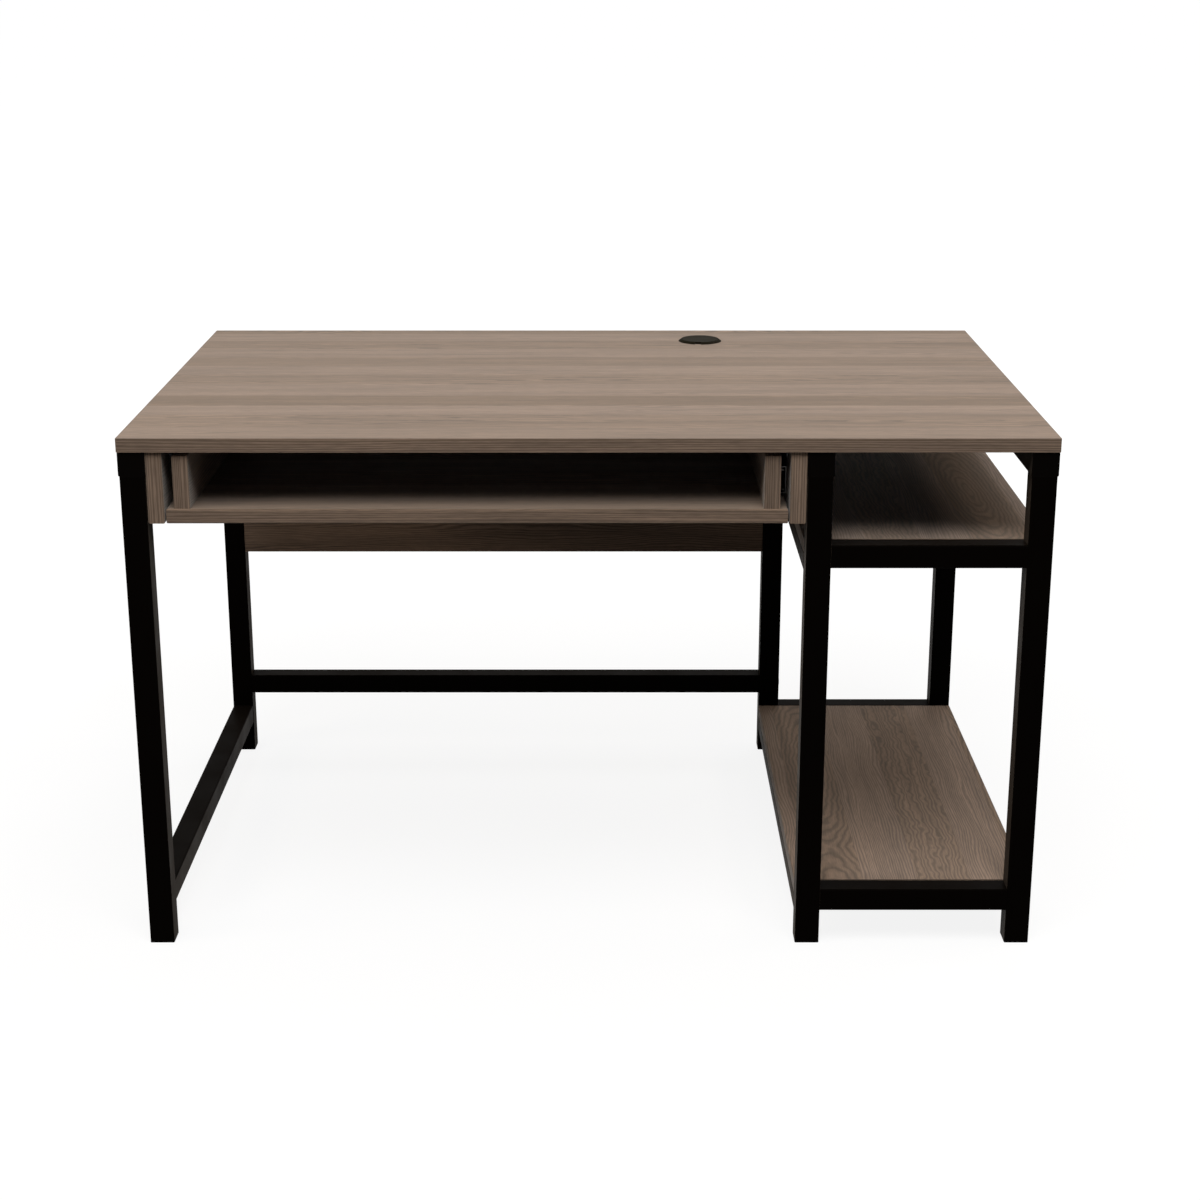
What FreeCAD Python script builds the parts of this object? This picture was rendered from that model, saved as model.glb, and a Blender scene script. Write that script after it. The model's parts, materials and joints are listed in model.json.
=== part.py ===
# Computer desk with a keyboard tray: three welded side frames of square steel tube carry a
# laminated desktop, a modesty panel, two shelves in the right-hand bay and a tray on ball slides.
# Millimetres. +X to the sitter's right, +Y to the rear, +Z up. The origin is on the floor,
# under the middle of the desktop.
import FreeCAD, Part
import os

Vec = FreeCAD.Vector

# ---- driving dimensions: desktop ----
desk_width = 1250.0
desk_depth = 798.0
desk_height = 733.5
desktop_thickness = 19.0

# ---- steel frames ----
leg_size = 34.0
tube_wall = 1.5
tube_corner = 2.0
side_overhang = 1.7          # desktop past the outer faces of the side legs
front_overhang = 2.0
rear_overhang = 7.0
bay_width = 263.5            # clear width between the middle and right legs
top_rail_lip = 1.2           # top rails past each side of their legs
top_rail_height = 33.3
brace_height = 32.0          # cross rails, stretcher and left lower rail
brace_inset = 1.0            # braces are this much narrower than the legs
lower_rail_rise = 50.0       # floor to the underside of the lower rails
stretcher_rise = 105.5
shelf_rail_width = 25.0
shelf_rail_height = 25.0
foot_plate = 3.0             # thickness of a foot's or cap's visible plate
plug_depth = 14.0
plug_wall = 2.0
plug_play = 0.2              # between a plug's walls and the tube

# ---- boards ----
shelf_thickness = 19.0
upper_shelf_drop = 128.5     # desktop's underside to the upper shelf
shelf_play = 0.5             # shelf ends to the legs
modesty_thickness = 19.0
modesty_height = 319.2
modesty_play = 0.3           # panel ends to the legs
modesty_top_gap = 1.0        # panel to the underside of the top rails
hanger_thickness = 21.8
hanger_height = 98.5
hanger_depth = 440.0
hanger_setback = 4.0         # hangers and tray behind the desktop's front edge
hanger_radius = 2.0

# ---- keyboard tray ----
tray_side_gap = 2.2
tray_thickness = 20.0
tray_depth = 430.0
tray_radius = 2.0
cheek_thickness = 21.3
cheek_height = 72.7
cheek_setback = 2.0
cheek_radius = 1.0

# ---- ball slides ----
slide_space = 13.0           # between a hanger and its tray cheek
slide_height = 37.5
slide_length = 350.0
slide_travel = 260.0
slide_setback = 70.0         # slides behind the tray's front edge
slide_rise = 4.0             # slides above the tray board
slide_sheet = 1.2
lip_gap = 2.0                # fixed member's lips to the tray cheek
ball_diameter = 2.6
ball_play = 0.3
ball_count = 6
cage_sheet = 0.6
cage_play = 0.4              # cage to the fixed member's web and lips
flange_play = 0.6            # cage to the drawer member's flanges
pocket_play = 0.2

# ---- cable grommet ----
grommet_from_right = 447.0
grommet_from_rear = 94.0
grommet_bore = 60.4
grommet_barrel = 60.0
grommet_wall = 1.6
grommet_rim = 69.7
grommet_rise = 3.5
grommet_lid = 59.4
lid_thickness = 2.0
lid_play = 0.3
lid_skirt_wall = 1.4
lid_skirt_depth = 8.0
notch_width = 9.5
notch_turn = 8.0             # degrees from straight ahead towards the left

# ---- fasteners ----
screw_radius = 2.0
screw_play = 0.1
pan_radius = 4.0
pan_height = 2.4
flat_radius = 3.6
slide_head_height = 1.8
wood_bite = 12.0             # thread length in a board
wall_bite = 6.0              # thread length past a tube wall
cheek_bite = 30.0
screw_inset = 60.0           # first and last screw from the ends of what they hold
bolt_radius = 3.0
bolt_head_radius = 7.0
bolt_head_height = 1.5
bolt_bite = 16.0
stretcher_plug_depth = 20.0
bracket_sheet = 2.0
bracket_height = 30.0
bracket_width = 22.0
bracket_leg = 14.0
bracket_inset = 40.0         # brackets from the panel's top and bottom

# ---- planes worked out from them ----
x_left = -desk_width / 2
x_right = desk_width / 2
y_front = -desk_depth / 2
y_rear = desk_depth / 2
desktop_underside = desk_height - desktop_thickness
leg_top = desktop_underside - top_rail_height
front_leg = (y_front + front_overhang, y_front + front_overhang + leg_size)
rear_leg = (y_rear - rear_overhang - leg_size, y_rear - rear_overhang)
right_leg = (x_right - side_overhang - leg_size, x_right - side_overhang)
mid_leg = (right_leg[0] - bay_width - leg_size, right_leg[0] - bay_width)
left_leg = (x_left + side_overhang, x_left + side_overhang + leg_size)
legs_x = {"left": left_leg, "mid": mid_leg, "right": right_leg}
legs_y = {"front": front_leg, "rear": rear_leg}
brace_depth = leg_size - brace_inset
front_brace = (front_leg[0], front_leg[0] + brace_depth)
rear_brace = (rear_leg[1] - brace_depth, rear_leg[1])
lower_shelf_top = lower_rail_rise + brace_height
upper_shelf_top = desktop_underside - upper_shelf_drop


def rail_span(leg):
    """X span of the top rail that lies over a leg."""
    return (leg[0] - top_rail_lip, leg[1] + top_rail_lip)


left_hanger = (rail_span(left_leg)[1], rail_span(left_leg)[1] + hanger_thickness)
right_hanger = (rail_span(mid_leg)[0] - hanger_thickness, rail_span(mid_leg)[0])
hanger_bottom = desktop_underside - hanger_height
tray_front = y_front + hanger_setback
tray_top = hanger_bottom + tray_thickness
left_cheek = (left_hanger[1] + slide_space, left_hanger[1] + slide_space + cheek_thickness)
right_cheek = (right_hanger[0] - slide_space - cheek_thickness, right_hanger[0] - slide_space)
slide_front = tray_front + slide_setback
slide_mid_height = tray_top + slide_rise + slide_height / 2
outer_race = slide_height / 2 - slide_sheet
inner_race = outer_race - ball_diameter - 2 * ball_play
ball_height = (outer_race + inner_race) / 2
slide_channel = slide_space - lip_gap
cage_web = (slide_sheet + cage_play, slide_sheet + cage_play + cage_sheet)
cage_reach = (cage_web[0], slide_channel - slide_sheet - cage_play)
ball_offset = (cage_web[1] + cage_reach[1]) / 2
cage_length = slide_length - slide_travel - 2 * ball_diameter
cage_front = slide_front + slide_travel / 2 + ball_diameter
grommet_x = x_right - grommet_from_right
grommet_y = y_rear - grommet_from_rear


# ---- building blocks ----
def block(x, y, z):
    """Box between the limits of three spans, each given from its lower end to its upper end."""
    return Part.makeBox(x[1] - x[0], y[1] - y[0], z[1] - z[0], Vec(x[0], y[0], z[0]))


def rounded(shape, radius, chosen):
    """Fillet the edges whose direction and middle point the test accepts."""
    edges = []
    for edge in shape.Edges:
        middle = edge.CenterOfMass
        if chosen(edge.tangentAt(edge.FirstParameter), middle):
            edges.append(edge)
    return shape.makeFillet(radius, edges)


def along(axis):
    """Test for edges that run along one axis, 0, 1 or 2 for X, Y or Z."""
    return lambda direction, middle: abs(direction[axis]) > 0.99


def shrunk(spans, axis, amount):
    """The three spans with the two across the axis drawn in by an amount."""
    result = []
    for index, span in enumerate(spans):
        inset = 0 if index == axis else amount
        result.append((span[0] + inset, span[1] - inset))
    return result


def bar(x, y, z, axis, corner):
    """Solid bar along an axis with rounded long edges."""
    return rounded(block(x, y, z), corner, along(axis))


def tube(x, y, z, axis):
    """Rectangular tube along an axis, open at both ends."""
    inner = shrunk((x, y, z), axis, tube_wall)
    outside = bar(x, y, z, axis, tube_corner)
    return outside.cut(bar(*inner, axis, tube_corner - tube_wall))


def union(shapes):
    """One solid from touching or overlapping shapes."""
    result = shapes[0]
    for shape in shapes[1:]:
        result = result.fuse(shape)
    return result.removeSplitter()


def spread(start, end, count):
    """Evenly spaced values from start to end."""
    return [start + (end - start) * i / (count - 1) for i in range(count)]


def pan_screw(seat, direction, length, extra=0.0, radius=screw_radius, head=(pan_radius, pan_height)):
    """Screw whose flat head stands on the seat point; direction points along the shank."""
    shank = Part.makeCylinder(radius + extra, length, seat, direction)
    cap = Part.makeCylinder(head[0] + extra, head[1], seat, direction * -1)
    return shank.fuse(cap).removeSplitter()


def flat_screw(seat, direction, length, extra=0.0):
    """Countersunk screw whose head is flush with the seat point's face."""
    sink = flat_radius - screw_radius
    head = Part.makeCone(flat_radius + extra, screw_radius + extra, sink, seat, direction)
    return head.fuse(Part.makeCylinder(screw_radius + extra, length, seat, direction)).removeSplitter()


def drilled(shape, cutters):
    """The shape with every cutter taken out of it."""
    return shape.cut(Part.makeCompound(cutters))


def plug(x, y, z, axis, outward):
    """End plug of a tube: a plate that closes the end and a hollow spigot inside the tube.

    The spans are the plate's; outward is +1 or -1, the way the plate faces along the axis.
    """
    plate = bar(x, y, z, axis, tube_corner)
    spans = shrunk((x, y, z), axis, tube_wall + plug_play)
    low, high = spans[axis]
    spans[axis] = (low - plug_depth, low) if outward > 0 else (high, high + plug_depth)
    spigot = block(*spans).cut(block(*shrunk(spans, axis, plug_wall)))
    return union([plate, spigot])


# ---- side frames ----
def leg(side, end):
    return tube(legs_x[side], legs_y[end], (foot_plate, leg_top), 2)


def foot(side, end):
    return plug(legs_x[side], legs_y[end], (0, foot_plate), 2, -1)


def top_rail_spans(side):
    """Spans of a top rail with its two end caps."""
    return rail_span(legs_x[side]), (front_leg[0], rear_leg[1]), (leg_top, desktop_underside)


def top_rail(side):
    x, y, z = top_rail_spans(side)
    return tube(x, (y[0] + foot_plate, y[1] - foot_plate), z, 1)


def rail_cap(side, end):
    x, y, z = top_rail_spans(side)
    if end == "front":
        return plug(x, (y[0], y[0] + foot_plate), z, 1, -1)
    return plug(x, (y[1] - foot_plate, y[1]), z, 1, 1)


def left_lower_rail():
    middle = (left_leg[0] + left_leg[1]) / 2
    x = (middle - brace_depth / 2, middle + brace_depth / 2)
    return tube(x, (front_leg[1], rear_leg[0]), (lower_rail_rise, lower_shelf_top), 1)


def shelf_rail(side, shelf_top):
    """Rail between a front and a rear leg that carries one edge of a shelf."""
    if side == "mid":
        x = (mid_leg[0], mid_leg[0] + shelf_rail_width)
    else:
        x = (right_leg[1] - shelf_rail_width, right_leg[1])
    z = (shelf_top - shelf_thickness - shelf_rail_height, shelf_top - shelf_thickness)
    return tube(x, (front_leg[1], rear_leg[0]), z, 1)


def cross_rail(y, shelf_top):
    """Rail between the middle and right legs, flush with a shelf's top."""
    return tube((mid_leg[1], right_leg[0]), y, (shelf_top - brace_height, shelf_top), 0)


def stretcher_spans():
    y = (rear_leg[0], rear_leg[0] + brace_depth)
    return (left_leg[1], mid_leg[0]), y, (stretcher_rise, stretcher_rise + brace_height)


def rear_stretcher():
    return tube(*stretcher_spans(), 0)


# ---- boards ----
def desktop():
    board = block((x_left, x_right), (y_front, y_rear), (desktop_underside, desk_height))
    foot_of_bore = Vec(grommet_x, grommet_y, desktop_underside)
    return board.cut(Part.makeCylinder(grommet_bore / 2, desktop_thickness, foot_of_bore))


def shelf(shelf_top):
    y = (front_leg[1] + shelf_play, rear_leg[0] - shelf_play)
    return block((mid_leg[0], right_leg[1]), y, (shelf_top - shelf_thickness, shelf_top))


def modesty_spans():
    x = (left_leg[1] + modesty_play, mid_leg[0] - modesty_play)
    y = (rear_leg[0], rear_leg[0] + modesty_thickness)
    top = leg_top - modesty_top_gap
    return x, y, (top - modesty_height, top)


def modesty_panel():
    return block(*modesty_spans())


def hanger(x):
    board = block(x, (tray_front, tray_front + hanger_depth), (hanger_bottom, desktop_underside))
    radius = min(hanger_radius, hanger_thickness * 0.4)
    low = lambda direction, middle: abs(direction.y) > 0.99 and middle.z < hanger_bottom + 0.01
    return rounded(board, radius, low)


def tray_board():
    x = (left_hanger[1] + tray_side_gap, right_hanger[0] - tray_side_gap)
    board = block(x, (tray_front, tray_front + tray_depth), (hanger_bottom, tray_top))
    radius = min(tray_radius, tray_thickness * 0.4)
    return rounded(board, radius, lambda direction, middle: abs(direction.z) < 0.01)


def tray_cheek(x):
    y = (tray_front + cheek_setback, tray_front + tray_depth - cheek_setback)
    top = tray_top + cheek_height
    board = block(x, y, (tray_top, top))
    radius = min(cheek_radius, cheek_thickness * 0.4)
    return rounded(board, radius, lambda direction, middle: middle.z > top - 0.01)


# ---- ball slides ----
# Each slide is drawn from its hanger's face: depth u runs towards the tray, height v is above
# or below the slide's middle.
def slide_block(face, towards, u, y, v):
    ends = sorted((face + towards * u[0], face + towards * u[1]))
    return block(ends, y, (slide_mid_height + v[0], slide_mid_height + v[1]))


def above_and_below(face, towards, u, y, v):
    """The same block above and below the slide's middle."""
    upper = slide_block(face, towards, u, y, v)
    lower = slide_block(face, towards, u, y, (-v[1], -v[0]))
    return [upper, lower]


def fixed_member(face, towards):
    y = (slide_front, slide_front + slide_length)
    half = slide_height / 2
    web = slide_block(face, towards, (0, slide_sheet), y, (-half, half))
    flanges = above_and_below(face, towards, (0, slide_channel), y, (outer_race, half))
    lip = (slide_channel - slide_sheet, slide_channel)
    lips = above_and_below(face, towards, lip, y, (inner_race + 2 * ball_play, half))
    return union([web] + flanges + lips)


def drawer_member(face, towards):
    y = (slide_front, slide_front + slide_length)
    u = (slide_space - slide_sheet, slide_space)
    web = slide_block(face, towards, u, y, (-inner_race, inner_race))
    u = (cage_web[1] + flange_play, slide_space)
    flanges = above_and_below(face, towards, u, y, (inner_race - slide_sheet, inner_race))
    return union([web] + flanges)


def ball_centres(face, towards):
    margin = ball_diameter * 2
    rows = spread(cage_front + margin, cage_front + cage_length - margin, ball_count)
    x = face + towards * ball_offset
    return [Vec(x, y, slide_mid_height + side * ball_height) for side in (-1, 1) for y in rows]


def ball_cage(face, towards):
    y = (cage_front, cage_front + cage_length)
    reach = ball_height + cage_sheet / 2
    web = slide_block(face, towards, cage_web, y, (-reach, reach))
    flanges = above_and_below(face, towards, cage_reach, y, (ball_height - cage_sheet / 2, reach))
    pockets = []
    for centre in ball_centres(face, towards):
        low = centre - Vec(0, 0, cage_sheet)
        pockets.append(Part.makeCylinder(ball_diameter / 2 + pocket_play, 2 * cage_sheet, low))
    return drilled(union([web] + flanges), pockets)


def slide_balls(face, towards):
    return [Part.makeSphere(ball_diameter / 2, centre) for centre in ball_centres(face, towards)]


# ---- cable grommet ----
def grommet_notch(inner_radius, outer_radius, z):
    """Cutter for the cable notch, which faces the front of the desk and a little to the left."""
    cutter = block((-notch_width / 2, notch_width / 2), (-outer_radius, -inner_radius), z)
    cutter.rotate(Vec(0, 0, 0), Vec(0, 0, 1), -notch_turn)
    cutter.translate(Vec(grommet_x, grommet_y, 0))
    return cutter


def grommet_liner():
    barrel = grommet_barrel / 2
    recess = grommet_lid / 2 + lid_play
    top = desk_height + grommet_rise
    bottom = Vec(grommet_x, grommet_y, desktop_underside)
    surface = Vec(grommet_x, grommet_y, desk_height)
    rim = Part.makeCone(grommet_rim / 2, recess + lid_play, grommet_rise, surface)
    tail = Part.makeCylinder(barrel, desktop_thickness, bottom)
    hole = Part.makeCylinder(barrel - grommet_wall, desktop_thickness + grommet_rise, bottom)
    well = Part.makeCylinder(recess, lid_thickness, Vec(grommet_x, grommet_y, top - lid_thickness))
    notch = grommet_notch(barrel - 2 * grommet_wall, grommet_rim, (desk_height, top))
    return drilled(union([rim, tail]), [well, hole, notch])


def grommet_cap():
    top = desk_height + grommet_rise
    underside = top - lid_thickness
    skirt_radius = grommet_barrel / 2 - grommet_wall - lid_play
    bottom = Vec(grommet_x, grommet_y, underside - lid_skirt_depth)
    lid = Part.makeCylinder(grommet_lid / 2, lid_thickness, Vec(grommet_x, grommet_y, underside))
    skirt = Part.makeCylinder(skirt_radius, lid_skirt_depth, bottom)
    hollow = Part.makeCylinder(skirt_radius - lid_skirt_wall, lid_skirt_depth, bottom)
    notch = grommet_notch(skirt_radius / 2, grommet_rim, (underside - lid_skirt_depth, underside))
    return union([lid, drilled(skirt, [hollow, notch])])


# ---- fasteners, each a list of identical pieces; extra widens them into clearance holes ----
def desktop_screws(extra=0.0):
    length = top_rail_height + wood_bite
    screws = []
    for side in legs_x:
        x = sum(legs_x[side]) / 2
        for y in spread(front_leg[1] + screw_inset, rear_leg[0] - screw_inset, 3):
            screws.append(pan_screw(Vec(x, y, leg_top), Vec(0, 0, 1), length, extra))
    return screws


def hanger_screws(extra=0.0):
    length = hanger_thickness + tube_wall + wall_bite
    z = desktop_underside - top_rail_height / 2
    screws = []
    for x, direction in ((left_hanger[1], -1), (right_hanger[0], 1)):
        for y in spread(tray_front + screw_inset, tray_front + hanger_depth - screw_inset, 3):
            screws.append(pan_screw(Vec(x, y, z), Vec(direction, 0, 0), length, extra))
    return screws


def cheek_screws(extra=0.0):
    length = tray_thickness + cheek_bite
    screws = []
    for cheek in (left_cheek, right_cheek):
        x = sum(cheek) / 2
        for y in spread(tray_front + screw_inset, tray_front + tray_depth - screw_inset, 3):
            screws.append(flat_screw(Vec(x, y, hanger_bottom), Vec(0, 0, 1), length, extra))
    return screws


def slide_sides():
    """Hanger face and the direction towards the tray, for the left and right slides."""
    return {"left": (left_hanger[1], 1), "right": (right_hanger[0], -1)}


def slide_screw_rows():
    return spread(slide_front + screw_inset / 2, slide_front + slide_length - screw_inset / 2, 3)


def slide_hanger_screws(extra=0.0):
    screws = []
    for face, towards in slide_sides().values():
        for y in slide_screw_rows():
            seat = Vec(face + towards * slide_sheet, y, slide_mid_height)
            screws.append(flat_screw(seat, Vec(-towards, 0, 0), slide_sheet + wood_bite, extra))
    return screws


def slide_cheek_screws(extra=0.0):
    head = (flat_radius, slide_head_height)
    screws = []
    for face, towards in slide_sides().values():
        for y in slide_screw_rows():
            seat = Vec(face + towards * (slide_space - slide_sheet), y, slide_mid_height)
            length = slide_sheet + wood_bite
            screws.append(pan_screw(seat, Vec(towards, 0, 0), length, extra, screw_radius, head))
    return screws


def shelf_screws(extra=0.0):
    length = shelf_rail_height + wood_bite
    screws = []
    for x in (mid_leg[0] + shelf_rail_width / 2, right_leg[1] - shelf_rail_width / 2):
        for shelf_top in (lower_shelf_top, upper_shelf_top):
            z = shelf_top - shelf_thickness - shelf_rail_height
            for y in spread(front_leg[1] + screw_inset, rear_leg[0] - screw_inset, 3):
                screws.append(pan_screw(Vec(x, y, z), Vec(0, 0, 1), length, extra))
    return screws


def bracket_places():
    """Leg face, direction away from the leg and middle height of each modesty-panel bracket."""
    low, high = modesty_spans()[2]
    places = []
    for face, away in ((left_leg[1], 1), (mid_leg[0], -1)):
        for z in (low + bracket_inset, high - bracket_inset):
            places.append((face, away, z))
    return places


def modesty_brackets():
    back = modesty_spans()[1][1]
    brackets = []
    for face, away, z in bracket_places():
        height = (z - bracket_height / 2, z + bracket_height / 2)
        wing = sorted((face, face + away * bracket_width))
        post = sorted((face, face + away * bracket_sheet))
        on_panel = block(wing, (back, back + bracket_sheet), height)
        on_leg = block(post, (back, back + bracket_leg), height)
        brackets.append(drilled(union([on_panel, on_leg]), modesty_screws(screw_play)))
    return brackets


def modesty_screws(extra=0.0):
    back = modesty_spans()[1][1] + bracket_sheet
    screws = []
    for face, away, z in bracket_places():
        x = face + away * (bracket_width - pan_radius - bracket_sheet)
        screws.append(pan_screw(Vec(x, back, z), Vec(0, -1, 0), bracket_sheet + wood_bite, extra))
        seat = Vec(face + away * bracket_sheet, back + pan_radius + bracket_sheet, z)
        length = bracket_sheet + tube_wall + wall_bite
        screws.append(pan_screw(seat, Vec(-away, 0, 0), length, extra))
    return screws


def stretcher_bolts(extra=0.0):
    _, y, z = stretcher_spans()
    head = (bolt_head_radius, bolt_head_height)
    bolts = []
    for x, direction in ((left_leg[0], 1), (mid_leg[1], -1)):
        seat = Vec(x, sum(y) / 2, sum(z) / 2)
        length = leg_size + bolt_bite
        bolts.append(pan_screw(seat, Vec(direction, 0, 0), length, extra, bolt_radius, head))
    return bolts


def stretcher_end_plugs():
    """Threaded blocks fixed in the ends of the stretcher for its bolts."""
    x, y, z = stretcher_spans()
    plugs = []
    for ends in ((x[0], x[0] + stretcher_plug_depth), (x[1] - stretcher_plug_depth, x[1])):
        body = block(*shrunk((ends, y, z), 0, tube_wall + plug_play))
        plugs.append(drilled(body, stretcher_bolts(screw_play)))
    return plugs


# ---- the desk, node by node ----
def steel_nodes():
    nodes = {}
    for side in legs_x:
        for end in legs_y:
            nodes[f"{side}_{end}_leg"] = leg(side, end)
        nodes[f"{side}_top_rail"] = top_rail(side)
    nodes["left_lower_rail"] = left_lower_rail()
    for name, shelf_top in (("lower", lower_shelf_top), ("upper", upper_shelf_top)):
        for side in ("mid", "right"):
            nodes[f"{side}_{name}_shelf_rail"] = shelf_rail(side, shelf_top)
        nodes[f"front_{name}_cross_rail"] = cross_rail(front_brace, shelf_top)
        nodes[f"rear_{name}_cross_rail"] = cross_rail(rear_brace, shelf_top)
    nodes["rear_stretcher"] = rear_stretcher()
    return nodes


def board_nodes():
    return {
        "desktop": desktop(),
        "lower_shelf": shelf(lower_shelf_top),
        "upper_shelf": shelf(upper_shelf_top),
        "modesty_panel": modesty_panel(),
        "left_hanger_panel": hanger(left_hanger),
        "right_hanger_panel": hanger(right_hanger),
        "tray_board": tray_board(),
        "left_tray_cheek": tray_cheek(left_cheek),
        "right_tray_cheek": tray_cheek(right_cheek),
    }


def plastic_nodes():
    nodes = {"grommet_liner": grommet_liner(), "grommet_cap": grommet_cap()}
    for side in legs_x:
        for end in legs_y:
            nodes[f"{side}_{end}_foot"] = foot(side, end)
            nodes[f"{side}_{end}_rail_cap"] = rail_cap(side, end)
    return nodes


def slide_nodes():
    nodes = {}
    for side, place in slide_sides().items():
        nodes[f"{side}_slide_fixed_member"] = fixed_member(*place)
        nodes[f"{side}_slide_drawer_member"] = drawer_member(*place)
        nodes[f"{side}_slide_ball_cage"] = ball_cage(*place)
        nodes[f"{side}_slide_balls"] = Part.makeCompound(slide_balls(*place))
    return nodes


def drill_for_fasteners(nodes):
    """Make the holes of the screws and bolts in the pieces that they join."""
    joined = {
        desktop_screws: ["desktop", "left_top_rail", "mid_top_rail", "right_top_rail"],
        hanger_screws: ["left_hanger_panel", "right_hanger_panel", "left_top_rail", "mid_top_rail"],
        cheek_screws: ["tray_board", "left_tray_cheek", "right_tray_cheek"],
        slide_hanger_screws: ["left_hanger_panel", "right_hanger_panel",
                              "left_slide_fixed_member", "right_slide_fixed_member"],
        slide_cheek_screws: ["left_tray_cheek", "right_tray_cheek",
                             "left_slide_drawer_member", "right_slide_drawer_member"],
        shelf_screws: ["lower_shelf", "upper_shelf", "mid_lower_shelf_rail", "mid_upper_shelf_rail",
                       "right_lower_shelf_rail", "right_upper_shelf_rail"],
        modesty_screws: ["modesty_panel", "left_rear_leg", "mid_rear_leg"],
        stretcher_bolts: ["left_rear_leg", "mid_rear_leg"],
    }
    for fasteners, names in joined.items():
        cutters = fasteners(screw_play)
        for name in names:
            nodes[name] = drilled(nodes[name], cutters)


def fastener_nodes():
    groups = {
        "desktop_screws": desktop_screws(),
        "hanger_screws": hanger_screws(),
        "cheek_screws": cheek_screws(),
        "slide_hanger_screws": slide_hanger_screws(),
        "slide_cheek_screws": slide_cheek_screws(),
        "shelf_screws": shelf_screws(),
        "modesty_brackets": modesty_brackets(),
        "modesty_screws": modesty_screws(),
        "stretcher_bolts": stretcher_bolts(),
        "stretcher_end_plugs": stretcher_end_plugs(),
    }
    return {name: Part.makeCompound(pieces) for name, pieces in groups.items()}


def build():
    nodes = {**board_nodes(), **steel_nodes(), **plastic_nodes(), **slide_nodes()}
    drill_for_fasteners(nodes)
    nodes.update(fastener_nodes())
    os.makedirs("parts", exist_ok=True)
    for name, shape in nodes.items():
        if not shape.isValid():
            raise ValueError(f"{name} is not a valid shape")
        shape.exportStep(f"parts/{name}.step")
        print(name, len(shape.Solids), round(shape.Volume))


build()
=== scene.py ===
"""Computer desk with a keyboard tray: finishes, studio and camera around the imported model.

Steel tube frame in satin black powder coat, boards in a taupe elm-look melamine with matching
edge bands, black ABS feet, caps and grommet, zinc-plated ball slides and dark zinc screws.
Lengths in the pattern code are millimetres unless a name says otherwise.
"""

import json
import math

import bpy
import numpy as np
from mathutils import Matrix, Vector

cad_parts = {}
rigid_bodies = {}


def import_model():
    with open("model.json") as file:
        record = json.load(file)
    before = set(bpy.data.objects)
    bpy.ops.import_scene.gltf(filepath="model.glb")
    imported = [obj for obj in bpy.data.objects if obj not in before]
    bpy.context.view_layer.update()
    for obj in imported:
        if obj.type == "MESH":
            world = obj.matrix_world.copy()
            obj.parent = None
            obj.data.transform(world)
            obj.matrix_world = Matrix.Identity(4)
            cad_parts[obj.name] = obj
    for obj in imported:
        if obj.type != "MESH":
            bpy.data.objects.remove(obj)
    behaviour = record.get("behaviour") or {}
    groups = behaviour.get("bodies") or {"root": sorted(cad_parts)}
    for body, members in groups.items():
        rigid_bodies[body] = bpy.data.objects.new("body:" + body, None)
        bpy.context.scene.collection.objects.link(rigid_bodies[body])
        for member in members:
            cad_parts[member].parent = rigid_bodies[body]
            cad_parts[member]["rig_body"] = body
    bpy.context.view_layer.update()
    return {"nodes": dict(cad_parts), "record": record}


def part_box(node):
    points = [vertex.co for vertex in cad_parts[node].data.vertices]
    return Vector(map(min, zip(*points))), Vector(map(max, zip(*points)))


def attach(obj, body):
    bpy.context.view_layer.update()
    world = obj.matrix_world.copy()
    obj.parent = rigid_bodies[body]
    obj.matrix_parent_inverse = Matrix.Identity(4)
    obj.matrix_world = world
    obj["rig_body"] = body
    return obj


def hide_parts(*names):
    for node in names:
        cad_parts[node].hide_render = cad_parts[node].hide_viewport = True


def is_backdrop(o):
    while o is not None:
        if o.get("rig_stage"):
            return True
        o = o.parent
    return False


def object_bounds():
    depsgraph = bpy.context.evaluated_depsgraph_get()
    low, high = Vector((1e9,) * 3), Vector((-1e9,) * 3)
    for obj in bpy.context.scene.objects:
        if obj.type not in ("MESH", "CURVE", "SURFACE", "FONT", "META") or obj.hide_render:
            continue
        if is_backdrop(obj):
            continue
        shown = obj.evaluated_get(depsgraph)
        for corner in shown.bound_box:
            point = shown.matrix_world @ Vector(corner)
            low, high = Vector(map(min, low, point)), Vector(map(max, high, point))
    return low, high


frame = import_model()

MM = 0.001


def linear(hex_colour):
    """An sRGB hex colour as linear RGBA: each channel through the sRGB curve's inverse."""
    channels = np.array([int(hex_colour[i:i + 2], 16) for i in (1, 3, 5)]) / 255
    low = channels / 12.92
    high = ((channels + 0.055) / 1.055) ** 2.4
    return (*np.where(channels <= 0.04045, low, high).tolist(), 1.0)


def add(tree, kind, settings=None, links=None):
    """Adds one shader node, sets its properties and unlinked sockets, and links its inputs."""
    node = tree.nodes.new("ShaderNode" + kind)
    for key, value in (settings or {}).items():
        if isinstance(key, str) and hasattr(node, key):
            setattr(node, key, value)
        else:
            node.inputs[key].default_value = value
    for key, source in (links or {}).items():
        tree.links.new(source, node.inputs[key])
    return node


def empty_material(name):
    """A new material with an empty node tree, and its output node."""
    material = bpy.data.materials.new(name)
    material.use_nodes = True
    tree = material.node_tree
    tree.nodes.clear()
    return material, tree, add(tree, "OutputMaterial")


# The print's noises, stretched along the grain: length and width in mm, an offset that makes each
# one different, detail and roughness.
PRINT_NOISES = {
    "slow_bend": (260.0, 60.0, 0, 1.0, 0.5),
    "ripple": (30.0, 26.0, 5, 1.0, 0.5),
    "year": (700.0, 14.0, 13, 1.0, 0.5),
    # Pores are 0.3 mm wide strokes, drawn 1 mm wide so that they show.
    "pore": (26.0, 1.0, 0, 2.0, 0.6),
    # Streaks are 24 mm broad, with finer ones inside them.
    "streak": (420.0, 24.0, 9, 5.0, 0.75),
}

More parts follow.
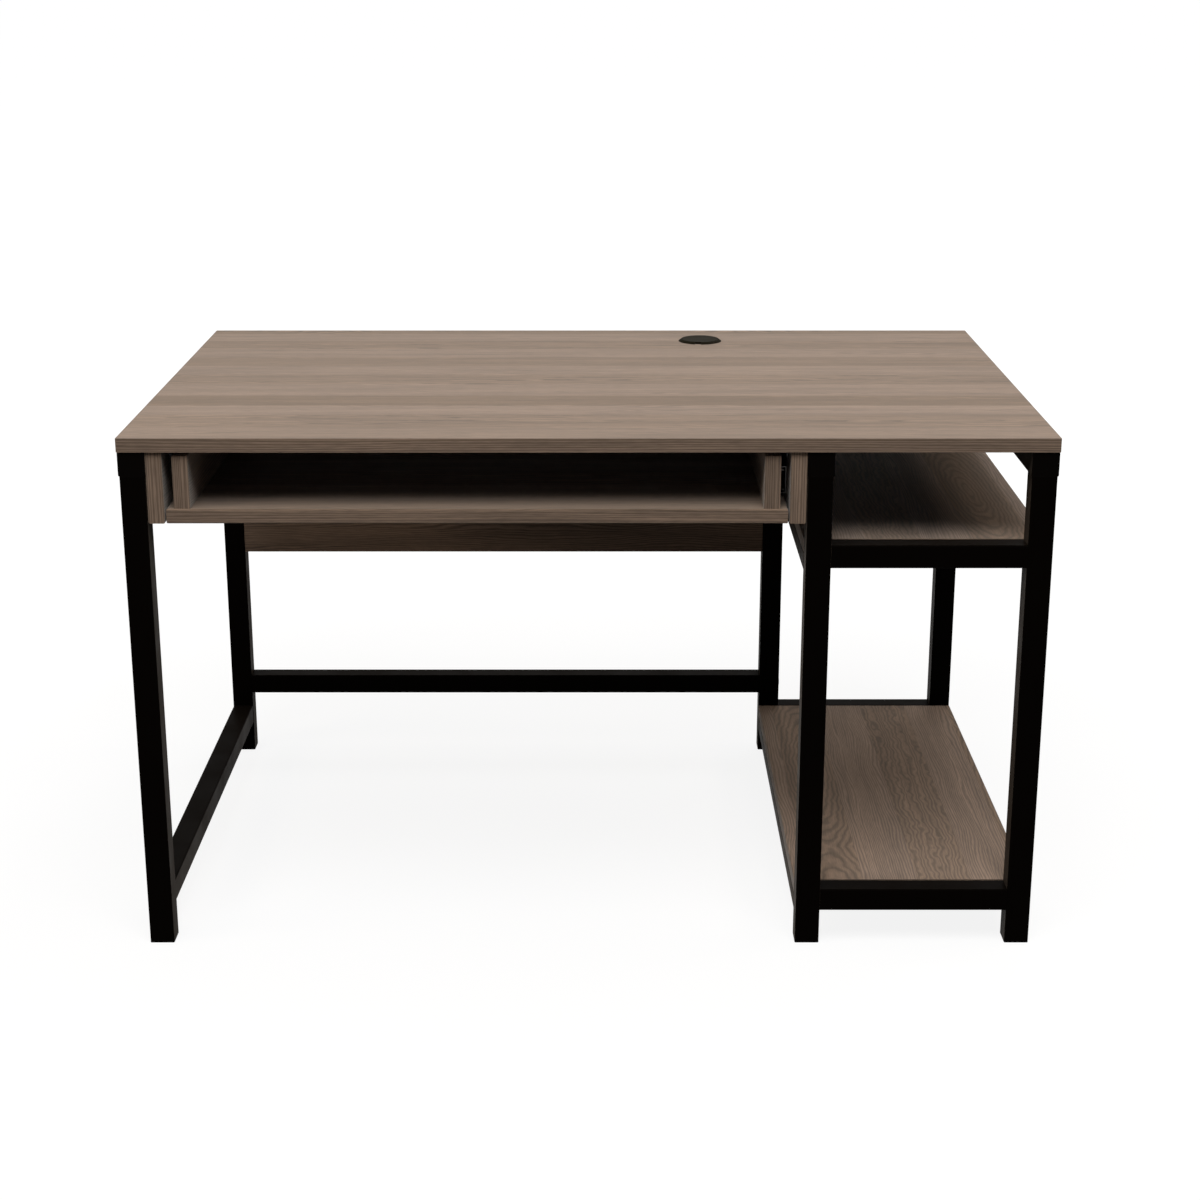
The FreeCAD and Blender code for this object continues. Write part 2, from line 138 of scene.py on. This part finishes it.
# The print's other sizes in mm: between growth lines, how far those bend, the cathedrals' ovals
# and the glue line's place and half width.
LINE_SPACING, RIPPLED_SPACING = 3.6, 6.6
FACE_BEND, BAND_BEND = 34.0, 3.0
LEAST_RIPPLE, RIPPLE_GAIN = 2.0, 13.0
OVAL_SPACING, OVAL_FOLD, OVAL_SCATTER = 5.5, 340.0, 900.0
OVAL_RIPPLE, OVAL_BEND = 7.0, 16.0
GLUE_PLACE, GLUE_HALF_WIDTH = 1.1, 0.35

# How many times as long as wide an oval is, and by how many lines the rings crowd together.
OVAL_STRETCH = 7.0
YEAR_CROWDING = 3.0

# The two ends of the print's tone, and how far each part of it darkens and lightens that.
PRINT_DARK, PRINT_PALE = "#705a44", "#988374"
STREAK_SHADE, PORE_SHADE, LINE_SHADE = (0.75, 1.25), (0.78, 1.09), (0.58, 1.15)
GLUE_SHADE = 0.72

# A face points along an axis where its normal's share of that axis is above this.
FACING = 0.6


def melamine(name, along, across, thick, low, high, stave_width, stave_start, figure, shift):
    """Printed taupe elm-look melamine on particle board, pressed, with a 1 mm edge band.

    To the eye it is a matt plank print: staves about 75 mm wide of two tones, fine combed or
    rippled growth lines along them, pores as short strokes, and a soft sheen at a low angle.
    along, across and thick are the axes of the grain, the board's width and its thickness.
    stave_width is in mm, stave_start counts where the first stave lies, and figure is how strongly
    the ripples and cathedrals show, from 0 to 1.
    """
    material, tree, output = empty_material(name)
    place = add(tree, "TexCoord")
    grid = add(tree, "VectorMath", {"operation": "SCALE", "Scale": 1000.0},
               {0: place.outputs["Object"]})
    xyz = add(tree, "SeparateXYZ", None, {0: grid.outputs[0]}).outputs
    upright = add(tree, "VectorMath", {"operation": "ABSOLUTE"}, {0: place.outputs["Normal"]})
    facing = add(tree, "SeparateXYZ", None, {0: upright.outputs[0]}).outputs

    # End faces run their grain across the board, and every edge band counts its own thickness.
    on_end = add(tree, "Math", {"operation": "GREATER_THAN", 1: FACING}, {0: facing[along]})
    on_face = add(tree, "Math", {"operation": "GREATER_THAN", 1: FACING}, {0: facing[thick]})
    u = add(tree, "Mix", None, {0: on_end.outputs[0], 2: xyz[along], 3: xyz[across]}).outputs[0]
    v = add(tree, "Mix", None, {0: on_face.outputs[0], 2: xyz[thick], 3: xyz[across]}).outputs[0]

    # Staves: cells across the grain, each with its own random numbers. They come in fours, a
    # cathedral, a combed, a rippled and a second combed one, and the combed ones are paler.
    stave_place = add(tree, "Math", {"operation": "MULTIPLY_ADD", 1: 1 / stave_width,
                                     2: stave_start}, {0: v})
    stave = add(tree, "TexVoronoi", {"voronoi_dimensions": "1D", "Scale": 1.0, "Randomness": 0.35},
                {"W": stave_place.outputs[0]})
    chance = add(tree, "SeparateColor", None, {0: stave.outputs["Color"]}).outputs
    number = add(tree, "Math", {"operation": "FLOOR"}, {0: stave.outputs["W"]})
    turn = add(tree, "Math", {"operation": "FLOORED_MODULO", 1: 4.0}, {0: number.outputs[0]})
    paler = add(tree, "Math", {"operation": "FLOORED_MODULO", 1: 2.0}, {0: number.outputs[0]})
    is_rippled = add(tree, "Math", {"operation": "COMPARE", 1: 2.0, 2: 0.1}, {0: turn.outputs[0]})
    is_cathedral = add(tree, "Math", {"operation": "COMPARE", 1: 0.0, 2: 0.1}, {0: turn.outputs[0]})

    noise = {}
    for pattern, (length, width, offset, detail, roughness) in PRINT_NOISES.items():
        long_place = add(tree, "Math", {"operation": "DIVIDE", 1: length}, {0: u})
        wide_place = add(tree, "Math", {"operation": "DIVIDE", 1: width}, {0: v})
        at = add(tree, "CombineXYZ", {2: shift + offset},
                 {0: long_place.outputs[0], 1: wide_place.outputs[0]})
        noise[pattern] = add(tree, "TexNoise", {"Scale": 1.0, "Detail": detail,
                                                "Roughness": roughness},
                             {"Vector": at.outputs[0]}).outputs[0]

    # Growth lines: the distance across the grain, bent slowly over 260 mm and rippled over 30 mm.
    rippled = add(tree, "MapRange", {"To Min": LEAST_RIPPLE,
                                     "To Max": LEAST_RIPPLE + RIPPLE_GAIN * figure},
                  {"Value": is_rippled.outputs[0]})
    # An edge band is cut from straight-grained print, so it bends little and doesn't ripple.
    sway = add(tree, "MapRange", {"To Min": BAND_BEND, "To Max": FACE_BEND},
               {"Value": on_face.outputs[0]})
    ripple = add(tree, "Math", {"operation": "MULTIPLY"},
                 {0: rippled.outputs[0], 1: on_face.outputs[0]})
    bend = add(tree, "Math", {"operation": "MULTIPLY_ADD"},
               {0: noise["slow_bend"], 1: sway.outputs[0], 2: v})
    bent = add(tree, "Math", {"operation": "MULTIPLY_ADD"},
               {0: noise["ripple"], 1: ripple.outputs[0], 2: bend.outputs[0]})
    spacing = add(tree, "MapRange", {"To Min": LINE_SPACING, "To Max": RIPPLED_SPACING},
                  {"Value": is_rippled.outputs[0]})
    even = add(tree, "Math", {"operation": "DIVIDE"}, {0: bent.outputs[0], 1: spacing.outputs[0]})
    # Rings crowd and open out over about 14 mm, by up to three lines, as good and bad years do.
    straight = add(tree, "Math", {"operation": "MULTIPLY_ADD", 1: YEAR_CROWDING},
                   {0: noise["year"], 2: even.outputs[0]})

    # A cathedral: nested ovals, 7 times as long as wide and 5.5 mm apart, about a heart that lies
    # at a random place along the stave. The length is folded every 340 mm, so that it has no seam.
    # An oval's number is the root of the summed squares of its length and width, over the spacing.
    heart = add(tree, "Math", {"operation": "MULTIPLY_ADD", 1: OVAL_SCATTER}, {0: chance[0], 2: u})
    along_heart = add(tree, "Math", {"operation": "PINGPONG", 1: OVAL_FOLD}, {0: heart.outputs[0]})
    long_part = add(tree, "Math", {"operation": "DIVIDE", 1: OVAL_STRETCH},
                    {0: along_heart.outputs[0]})
    own_middle = add(tree, "Math", {"operation": "SUBTRACT"},
                     {0: stave_place.outputs[0], 1: stave.outputs["W"]})
    wide_part = add(tree, "Math", {"operation": "MULTIPLY", 1: stave_width},
                    {0: own_middle.outputs[0]})
    square_long = add(tree, "Math", {"operation": "POWER", 1: 2.0}, {0: long_part.outputs[0]})
    square_wide = add(tree, "Math", {"operation": "POWER", 1: 2.0}, {0: wide_part.outputs[0]})
    squares = add(tree, "Math", {"operation": "ADD"},
                  {0: square_long.outputs[0], 1: square_wide.outputs[0]})
    oval = add(tree, "Math", {"operation": "SQRT"}, {0: squares.outputs[0]})
    oval_rippled = add(tree, "Math", {"operation": "MULTIPLY_ADD", 1: OVAL_RIPPLE},
                       {0: noise["ripple"], 2: oval.outputs[0]})
    oval_bent = add(tree, "Math", {"operation": "MULTIPLY_ADD", 1: OVAL_BEND},
                    {0: noise["slow_bend"], 2: oval_rippled.outputs[0]})
    nested = add(tree, "Math", {"operation": "DIVIDE", 1: OVAL_SPACING}, {0: oval_bent.outputs[0]})
    # A board with little figure shows a cathedral in only some of those staves.
    has_heart = add(tree, "Math", {"operation": "LESS_THAN", 1: figure}, {0: chance[2]})
    heart_there = add(tree, "Math", {"operation": "MULTIPLY"},
                      {0: has_heart.outputs[0], 1: is_cathedral.outputs[0]})
    heart_on_face = add(tree, "Math", {"operation": "MULTIPLY"},
                        {0: heart_there.outputs[0], 1: on_face.outputs[0]})
    count = add(tree, "Mix", None, {0: heart_on_face.outputs[0], 2: straight.outputs[0],
                                    3: nested.outputs[0]})
    # Each line is dark at its start, as late wood is, and pales towards the next one.
    ring = add(tree, "Math", {"operation": "FRACT"}, {0: count.outputs[0]})
    line = add(tree, "ValToRGB", None, {0: ring.outputs[0]})
    stops = line.color_ramp.elements
    stops[0].color = stops[1].color = linear("#1c1c1c")
    for position, colour in ((0.2, "#7c7c7c"), (0.5, "#ffffff"), (0.88, "#cccccc")):
        stops.new(position).color = linear(colour)

    # The tone is a share of the way from the dark print to the pale one, 0.28 to 0.48 for a
    # cathedral or rippled stave and 0.3 more for a combed one, and a half on edge bands.
    random_tone = add(tree, "Math", {"operation": "MULTIPLY_ADD", 1: 0.2, 2: 0.28}, {0: chance[0]})
    stave_tone = add(tree, "Math", {"operation": "MULTIPLY_ADD", 1: 0.3},
                     {0: paler.outputs[0], 2: random_tone.outputs[0]})
    own_tone = add(tree, "Mix", {2: 0.5}, {0: on_face.outputs[0], 3: stave_tone.outputs[0]})
    tone = add(tree, "Mix", {"data_type": "RGBA", 6: linear(PRINT_DARK), 7: linear(PRINT_PALE)},
               {0: own_tone.outputs[0]})
    streaked = add(tree, "MapRange", {"From Min": 0.3, "From Max": 0.7,
                                      "To Min": STREAK_SHADE[0], "To Max": STREAK_SHADE[1]},
                   {"Value": noise["streak"]})
    pored = add(tree, "MapRange", {"From Min": 0.35, "From Max": 0.6,
                                   "To Min": PORE_SHADE[0], "To Max": PORE_SHADE[1]},
                {"Value": noise["pore"]})
    lined = add(tree, "MapRange", {"To Min": LINE_SHADE[0], "To Max": LINE_SHADE[1]},
                {"Value": line.outputs[0]})
    fine = add(tree, "Math", {"operation": "MULTIPLY"},
               {0: streaked.outputs[0], 1: pored.outputs[0]})
    shade = add(tree, "Math", {"operation": "MULTIPLY"}, {0: fine.outputs[0], 1: lined.outputs[0]})

    # The glue line between face and edge band: a shade darker, 1 mm in from the board's outline.
    middle = (np.array(low) + np.array(high)) / 2
    half = (np.array(high) - np.array(low)) / 2
    gaps = []
    for axis in (along, across):
        offset = add(tree, "Math", {"operation": "SUBTRACT", 1: middle[axis] * 1000},
                     {0: xyz[axis]})
        size = add(tree, "Math", {"operation": "ABSOLUTE"}, {0: offset.outputs[0]})
        gaps.append(add(tree, "Math", {"operation": "SUBTRACT", 0: half[axis] * 1000},
                        {1: size.outputs[0]}).outputs[0])
    edge_gap = add(tree, "Math", {"operation": "MINIMUM"}, {0: gaps[0], 1: gaps[1]})
    glue = add(tree, "Math", {"operation": "COMPARE", 1: GLUE_PLACE, 2: GLUE_HALF_WIDTH},
               {0: edge_gap.outputs[0]})
    glue_on_face = add(tree, "Math", {"operation": "MULTIPLY"},
                       {0: glue.outputs[0], 1: on_face.outputs[0]})
    glued = add(tree, "MapRange", {"To Min": 1.0, "To Max": GLUE_SHADE},
                {"Value": glue_on_face.outputs[0]})
    final_shade = add(tree, "Math", {"operation": "MULTIPLY"},
                      {0: shade.outputs[0], 1: glued.outputs[0]})
    colour = add(tree, "VectorMath", {"operation": "SCALE"},
                 {0: tone.outputs[2], "Scale": final_shade.outputs[0]})
    rough = add(tree, "MapRange", {"From Min": 0.3, "From Max": 0.7, "To Min": 0.5,
                                   "To Max": 0.64}, {"Value": noise["pore"]})
    relief = add(tree, "Bump", {"Strength": 0.35, "Distance": 0.00012},
                 {"Height": shade.outputs[0]})
    # The pressed matt texture scatters light into a pale veil at low angles, more than it mirrors.
    board = add(tree, "BsdfPrincipled", {"IOR": 1.5, "Specular IOR Level": 0.01,
                                         "Sheen Weight": 0.35, "Sheen Roughness": 0.6,
                                         "Sheen Tint": linear("#e5e7e5")},
                {"Base Color": colour.outputs[0], "Roughness": rough.outputs[0],
                 "Normal": relief.outputs[0]})
    tree.links.new(board.outputs[0], output.inputs[0])
    return material


# How large a coating's cloudy patches are in mm, and the colour of its haze.
CLOUD_SIZE = 70
HAZE = "#cbb5a0"


def coated(name, base, wear_and_highlight, rough, level, grain, height, edge, metal=0.0, bloom=0.0):
    """A solid finish with a fine grain, and a lighter colour along its edges that is partly rub wear
    and partly a painted highlight.

    level is its specular level, grain the size of its texture in mm and height its depth, and edge
    is how wide the painted highlight and rub are. bloom is how strongly a warm haze of handling
    shows at low angles.
    """
    material, tree, output = empty_material(name)
    place = add(tree, "TexCoord")
    peel = add(tree, "TexNoise", {"Scale": 1000 / grain, "Detail": 2.0, "Roughness": 0.55},
               {"Vector": place.outputs["Object"]})
    cloud = add(tree, "TexNoise", {"Scale": 1000 / CLOUD_SIZE, "Detail": 2.0},
                {"Vector": place.outputs["Object"]})
    softened = add(tree, "Bevel", {"samples": 4, "Radius": edge * MM})
    shape = add(tree, "NewGeometry")
    bent = add(tree, "VectorMath", {"operation": "DOT_PRODUCT"},
               {0: softened.outputs[0], 1: shape.outputs["Normal"]})
    # Edges are painted lighter in cloudy patches, up to half way to the second colour: partly rub
    # wear, partly a painted highlight where edges catch the light.
    edge_wear_and_highlight = add(tree, "MapRange", {"From Min": 0.995, "From Max": 0.86, "To Min": 0.0,
                                    "To Max": 0.5}, {"Value": bent.outputs["Value"]})
    patchy_wear_and_highlight = add(tree, "Math", {"operation": "MULTIPLY"},
                 {0: edge_wear_and_highlight.outputs[0], 1: cloud.outputs[0]})
    colour = add(tree, "Mix", {"data_type": "RGBA", 6: linear(base), 7: linear(wear_and_highlight)},
                 {0: patchy_wear_and_highlight.outputs[0]})
    dull = add(tree, "MapRange", {"From Min": 0.3, "From Max": 0.7, "To Min": rough - 0.07,
                                  "To Max": rough + 0.07}, {"Value": cloud.outputs[0]})
    relief = add(tree, "Bump", {"Strength": 0.4, "Distance": height * MM},
                 {"Height": peel.outputs[0]})
    skin = add(tree, "BsdfPrincipled", {"Metallic": metal, "Specular IOR Level": level,
                                        "Sheen Weight": bloom, "Sheen Roughness": 0.35,
                                        "Sheen Tint": linear(HAZE)},
               {"Base Color": colour.outputs[2], "Roughness": dull.outputs[0],
                "Normal": relief.outputs[0]})
    tree.links.new(skin.outputs[0], output.inputs[0])
    return material


# Grain runs along the desk on the top, tray and modesty panel, and front to back elsewhere.
X, Y, Z = 0, 1, 2
GRAIN = {
    "desktop": (X, Y, Z), "tray_board": (X, Y, Z), "modesty_panel": (X, Z, Y),
    "lower_shelf": (Y, X, Z), "upper_shelf": (Y, X, Z),
    "left_hanger_panel": (Y, Z, X), "right_hanger_panel": (Y, Z, X),
    "left_tray_cheek": (Y, Z, X), "right_tray_cheek": (Y, Z, X),
}

# Stave width in mm, where the first stave starts, and how lively the figure is, for the boards
# that show most. The others take the common width and figure, and start a shift apart.
STAVES = {
    "desktop": (70.5, 6.384, 0.3),
    "lower_shelf": (78, 3.701, 1.0), "upper_shelf": (78, 4.901, 1.0),
}
COMMON_WIDTH, COMMON_START, COMMON_FIGURE = 75, 7.3, 0.4
BOARD_SHIFT = 3.7

# Polyester powder coat, sprayed and baked on steel tube: satin black with a faint orange peel.
powder_coat = coated("powder_coat_satin_black", "#060403", "#1d1916", rough=0.46, level=0.005,
                     grain=1.4, height=0.02, edge=1.5, bloom=0.13)
# ABS, injection moulded with a spark-eroded texture: near-black, soft low gloss.
abs_black = coated("abs_moulded_black", "#070504", "#1c1916", rough=0.5, level=0.008,
                   grain=0.9, height=0.03, edge=0.8, bloom=0.08)
# The same ABS in the grommet, a shade lighter, with a coarser matt texture on its lid.
abs_grommet = coated("abs_moulded_grommet", "#1a170f", "#332f26", rough=0.6, level=0.012,
                     grain=1.1, height=0.05, edge=0.8)
# Cold-rolled sheet, zinc plated and grey passivated: dull grey metal, faintly cloudy.
zinc_sheet = coated("zinc_plated_sheet", "#62605d", "#8b8986", rough=0.4, level=0.5,
                    grain=2.0, height=0.01, edge=0.5, metal=1.0)
# Bearing steel, ground and polished: near-mirror.
ball_steel = coated("bearing_steel_polished", "#c6c7c9", "#d6d7d9", rough=0.12, level=0.5,
                    grain=3.0, height=0.002, edge=0.2, metal=1.0)
# Carbon steel screws, dark zinc plated: dull grey metal.
screw_steel = coated("screw_steel_dark_zinc", "#5b5c5e", "#8e8f91", rough=0.4, level=0.5,
                     grain=1.2, height=0.01, edge=0.3, metal=1.0)
FINISHES = {
    "powder_coated_steel": powder_coat, "black_plastic": abs_black,
    "zinc_plated_steel": zinc_sheet, "bearing_steel": ball_steel, "fastener_steel": screw_steel,
}

for part in frame["record"]["subparts"]:
    node = frame["nodes"][part["node"]]
    if part["node"] in GRAIN:
        low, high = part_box(part["node"])
        print_shift = BOARD_SHIFT * sorted(GRAIN).index(part["node"])
        common = (COMMON_WIDTH, COMMON_START + print_shift, COMMON_FIGURE)
        finish = melamine("elm_melamine_" + part["node"], *GRAIN[part["node"]], low, high,
                          *STAVES.get(part["node"], common), print_shift)
    elif part["node"].startswith("grommet"):
        finish = abs_grommet
    else:
        finish = FINISHES[part["material_slot"]]
    node.data.materials.clear()
    node.data.materials.append(finish)


def separate_solids(node):
    """The corners of each separate solid in a CAD node, one array per solid.

    Corners at the same place are made one, then each takes the lowest label in its triangles,
    again and again, until all the corners of a solid share one label.
    """
    corners = np.zeros(len(node.data.vertices) * 3)
    node.data.vertices.foreach_get("co", corners)
    places, which = np.unique(corners.reshape(-1, 3).round(6), axis=0, return_inverse=True)
    triangles = np.zeros(len(node.data.polygons) * 3, int)
    node.data.polygons.foreach_get("vertices", triangles)
    triangles = which.ravel()[triangles].reshape(-1, 3)
    labels = np.arange(len(places))
    while True:
        lowest = np.repeat(labels[triangles].min(axis=1), 3)
        before = labels.copy()
        np.minimum.at(labels, triangles.ravel(), lowest)
        if (labels == before).all():
            return [places[labels == label] for label in np.unique(labels)]


# A recessed fastener's shape: shares of the head's radius, of its height, and of the shank's radius.
CROWN_EDGE, CROSS_HALF_WIDTH, CROSS_REACH, KEY_HALF_WIDTH = 0.94, 0.13, 0.6, 0.36
CROWN_FALL, SOCKET_DEPTH = 0.3, 0.55
TIP_SHARE = 0.4
SIDES, CROWN_RINGS = 48, 11

# In metres: lengths within the first of each other count as the same, and a head whose rim is
# thinner than the second is a countersunk one.
SAME_WITHIN, THIN_RIM = 1e-5, 1e-4


def recessed_screw(solid, socket):
    """A screw or bolt in the room of one CAD fastener: its points, four-sided faces and end fans.

    A profile of radius against height is turned round the fastener's longest axis. The head's
    crown falls by the square of the radius, and its middle is sunk by a cross, where either
    coordinate is within an arm's half width, or by a hexagon, where the largest of three
    distances 60 degrees apart is within the key's half width.
    """
    low, high = solid.min(axis=0), solid.max(axis=0)
    axis = int(np.argmax(high - low))
    middle = (low + high) / 2
    side_1, side_2 = (axis + 1) % 3, (axis + 2) % 3
    reach = np.hypot(solid[:, side_1] - middle[side_1], solid[:, side_2] - middle[side_2])
    head_radius = reach.max()
    shank_radius = reach[reach > SAME_WITHIN].min()
    wide = solid[reach > head_radius - SAME_WITHIN, axis]
    head_is_low = abs(wide.min() - low[axis]) < abs(wide.max() - high[axis])
    head_end, tip_end = (low[axis], high[axis]) if head_is_low else (high[axis], low[axis])
    inward = 1.0 if head_is_low else -1.0
    total = abs(tip_end - head_end)
    thick = wide.max() - wide.min()
    # A pan head has a straight rim and a flat seat; a countersunk one tapers down to the shank.
    pan = thick > THIN_RIM
    seat = thick if pan else head_radius - shank_radius
    tip_radius = TIP_SHARE * shank_radius

    angle = np.linspace(0, 2 * math.pi, SIDES, endpoint=False)
    top = np.linspace(0, CROWN_EDGE, CROWN_RINGS + 1)[1:] * head_radius
    if pan:
        crown = CROWN_FALL * thick * (top / head_radius) ** 2
        below_radius = [head_radius, head_radius, shank_radius, shank_radius, tip_radius]
        below_depth = [0.5 * thick, seat, seat, total - shank_radius, total]
    else:
        crown = np.zeros(CROWN_RINGS)
        below_radius = [head_radius, shank_radius, shank_radius, tip_radius]
        below_depth = [0.05 * seat, seat, total - shank_radius, total]
    radius = np.concatenate([top, below_radius])[:, None] * np.ones(SIDES)
    depth = np.concatenate([crown, below_depth])[:, None] * np.ones(SIDES)
    across_1, across_2 = radius * np.cos(angle), radius * np.sin(angle)

    def falls(value, width):
        """1 inside the width and 0 outside, over a twelfth of the head's radius."""
        return np.clip((width - value) / (head_radius / 12) + 0.5, 0, 1)

    if socket == "hexagon":
        apart = [np.abs(across_1 * math.cos(t) + across_2 * math.sin(t))
                 for t in (0, math.pi / 3, 2 * math.pi / 3)]
        sunk = falls(np.max(apart, axis=0), KEY_HALF_WIDTH * head_radius)
    else:
        arm, end = CROSS_HALF_WIDTH * head_radius, CROSS_REACH * head_radius
        one = falls(np.abs(across_1), arm) * falls(np.abs(across_2), end)
        two = falls(np.abs(across_2), arm) * falls(np.abs(across_1), end)
        sunk = np.maximum(one, two)
    depth[:CROWN_RINGS] += SOCKET_DEPTH * seat * sunk[:CROWN_RINGS]

    rings = len(radius)
    points = np.zeros((rings, SIDES, 3))
    points[:, :, axis] = head_end + inward * depth
    points[:, :, side_1] = middle[side_1] + across_1
    points[:, :, side_2] = middle[side_2] + across_2
    caps = np.tile(middle, (2, 1))
    caps[0, axis] = head_end + inward * SOCKET_DEPTH * seat
    caps[1, axis] = tip_end
    points = np.concatenate([points.reshape(-1, 3), caps])

    step = np.arange(SIDES)
    after = (step + 1) % SIDES
    start = SIDES * np.arange(rings - 1)[:, None]
    quads = np.stack([start + step, start + after,
                      start + SIDES + after, start + SIDES + step], axis=-1).reshape(-1, 4)
    head_cap, tip_cap = rings * SIDES, rings * SIDES + 1
    first = np.stack([np.full(SIDES, head_cap), after, step], axis=-1)
    last = (rings - 1) * SIDES
    final = np.stack([np.full(SIDES, tip_cap), last + step, last + after], axis=-1)
    fans = np.concatenate([first, final])
    if head_is_low:
        return points, quads, fans
    return points, quads[:, ::-1], fans[:, ::-1]


def fasteners(node_name, socket):
    """One piece with a recessed fastener for each solid of a CAD node, in the same places."""
    node = frame["nodes"][node_name]
    points, quads, fans = [], [], []
    start = 0
    for solid in separate_solids(node):
        own_points, own_quads, own_fans = recessed_screw(solid, socket)
        points.append(own_points)
        quads.append(own_quads + start)
        fans.append(own_fans + start)
        start += len(own_points)
    faces = np.concatenate(quads).tolist() + np.concatenate(fans).tolist()
    mesh = bpy.data.meshes.new(node_name + "_recessed")
    mesh.from_pydata(np.concatenate(points).tolist(), [], faces)
    mesh.update()
    mesh.materials.append(screw_steel)
    piece = bpy.data.objects.new(node_name + "_recessed", mesh)
    bpy.context.scene.collection.objects.link(piece)
    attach(piece, node["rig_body"])
    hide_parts(node_name)


for screws in ("desktop_screws", "hanger_screws", "cheek_screws", "slide_hanger_screws",
               "slide_cheek_screws", "shelf_screws", "modesty_screws"):
    fasteners(screws, "cross")
fasteners("stretcher_bolts", "hexagon")


def softbox(name, place, aim, size, watts, colour):
    """A soft oval lamp at place, turned to aim, unseen by the camera.

    Its tilt is the angle between straight down and the way to the aim, and its turn is that way's
    angle on the floor, less a right angle.
    """
    lamp = bpy.data.lights.new(name, "AREA")
    lamp.shape = "ELLIPSE"
    lamp.size, lamp.size_y = size
    lamp.energy = watts
    lamp.color = linear(colour)[:3]
    holder = bpy.data.objects.new(name, lamp)
    bpy.context.scene.collection.objects.link(holder)
    away = np.array(aim, float) - np.array(place, float)
    holder.location = place
    holder.rotation_euler = (math.atan2(math.hypot(away[0], away[1]), -away[2]), 0,
                             math.atan2(away[1], away[0]) - math.pi / 2)
    holder.visible_camera = False


# Place, aim and size in metres, power in watts, and colour.
NEUTRAL, WARM = "#ffffff", "#ffead4"
# The ceiling's even light, on every top face. Its aim is a hair off straight down, to fix its turn.
softbox("overhead_softbox", (0, 0, 3.7), (0, 0.001, 0), (10.0, 9.0), 92, NEUTRAL)
# The key light: front edges, tray front and the front part of both shelves.
softbox("front_softbox", (0, -2.6, 5.2), (0, 0, 0.5), (4.0, 3.4), 200, NEUTRAL)
# Warmer light from both sides, into the shade under the desktop.
softbox("left_softbox", (-3.8, -1.6, 2.7), (0, 0, 0.4), (2.0, 1.6), 40, WARM)
softbox("right_softbox", (3.4, 0.3, 3.4), (0.4, 0, 0.3), (2.0, 1.6), 31, WARM)
# Light from behind, for the lower shelf's rear part and the desk's back.
softbox("rear_softbox", (1.4, 3.4, 4.2), (0.4, 0, 0.1), (2.4, 2.0), 46, NEUTRAL)


def seen_directly(tree):
    """A node's output that is 1 for camera, glossy and transmission rays and 0 for all others."""
    ray = add(tree, "LightPath").outputs
    seen = add(tree, "Math", {"operation": "MAXIMUM"},
               {0: ray["Is Camera Ray"], 1: ray["Is Glossy Ray"]})
    shown = add(tree, "Math", {"operation": "MAXIMUM"},
                {0: seen.outputs[0], 1: ray["Is Transmission Ray"]})
    return shown.outputs[0]


# The world is white where it is seen or mirrored, and lights the desk only faintly.
AMBIENT = 0.015
world = bpy.data.worlds.new("studio")
bpy.context.scene.world = world
world.use_nodes = True
sky = world.node_tree
sky.nodes.clear()
strength = add(sky, "MapRange", {"To Min": AMBIENT, "To Max": 1.0}, {"Value": seen_directly(sky)})
backdrop = add(sky, "Background", {"Color": (1, 1, 1, 1)}, {"Strength": strength.outputs[0]})
add(sky, "OutputWorld", None, {0: backdrop.outputs[0]})

# The floor: a disc that keeps the desk's soft shadow near it and is plain white further out.
# Radii and height are in metres: the disc lies half a millimetre under the feet, and the shadow
# shows in full inside the first radius and not at all beyond the second.
FLOOR_RADIUS, FLOOR_SIDES, FLOOR_HEIGHT = 60, 96, -0.0005
SHADOW_FULL, SHADOW_GONE = 1.1, 3.2
NEAR_LEVEL, FLOOR_GREY = 0.88, 0.14
angles = np.linspace(0, 2 * math.pi, FLOOR_SIDES, endpoint=False)
rim = np.stack([FLOOR_RADIUS * np.cos(angles), FLOOR_RADIUS * np.sin(angles),
                np.full(FLOOR_SIDES, FLOOR_HEIGHT)], axis=1)
floor_mesh = bpy.data.meshes.new("floor")
floor_mesh.from_pydata(rim.tolist(), [], [tuple(range(FLOOR_SIDES))])
floor = bpy.data.objects.new("floor", floor_mesh)
bpy.context.scene.collection.objects.link(floor)
# Matt backdrop paper: a plain white ground with no grain to see.
paper, tree, output = empty_material("backdrop_paper_white")
place = add(tree, "TexCoord")
reach = add(tree, "VectorMath", {"operation": "LENGTH"}, {0: place.outputs["Object"]})
whiteness = add(tree, "MapRange", {"From Min": SHADOW_FULL, "From Max": SHADOW_GONE,
                                   "To Min": NEAR_LEVEL, "To Max": 1.0},
                {"Value": reach.outputs["Value"]})
level = add(tree, "Math", {"operation": "MULTIPLY"},
            {0: whiteness.outputs[0], 1: seen_directly(tree)})
lit = add(tree, "BsdfDiffuse", {"Color": (FLOOR_GREY, FLOOR_GREY, FLOOR_GREY, 1)})
white = add(tree, "Emission", {"Color": (1, 1, 1, 1)}, {"Strength": level.outputs[0]})
both = add(tree, "AddShader", None, {0: lit.outputs[0], 1: white.outputs[0]})
tree.links.new(both.outputs[0], output.inputs[0])
floor_mesh.materials.append(paper)
floor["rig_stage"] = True

# The camera stands in front of the desk's middle, 1.38 m up, and looks 17 degrees down.
lens = bpy.data.cameras.new("camera")
lens.lens = 65
lens.sensor_width = 36
lens.clip_end = 200
camera = bpy.data.objects.new("camera", lens)
camera.location = (0.0153, -3.1917, 1.3805)
camera.rotation_euler = (math.radians(72.694), 0, 0)
bpy.context.scene.collection.objects.link(camera)
bpy.context.scene.camera = camera
bpy.context.scene.view_settings.view_transform = "Standard"

low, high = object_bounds()
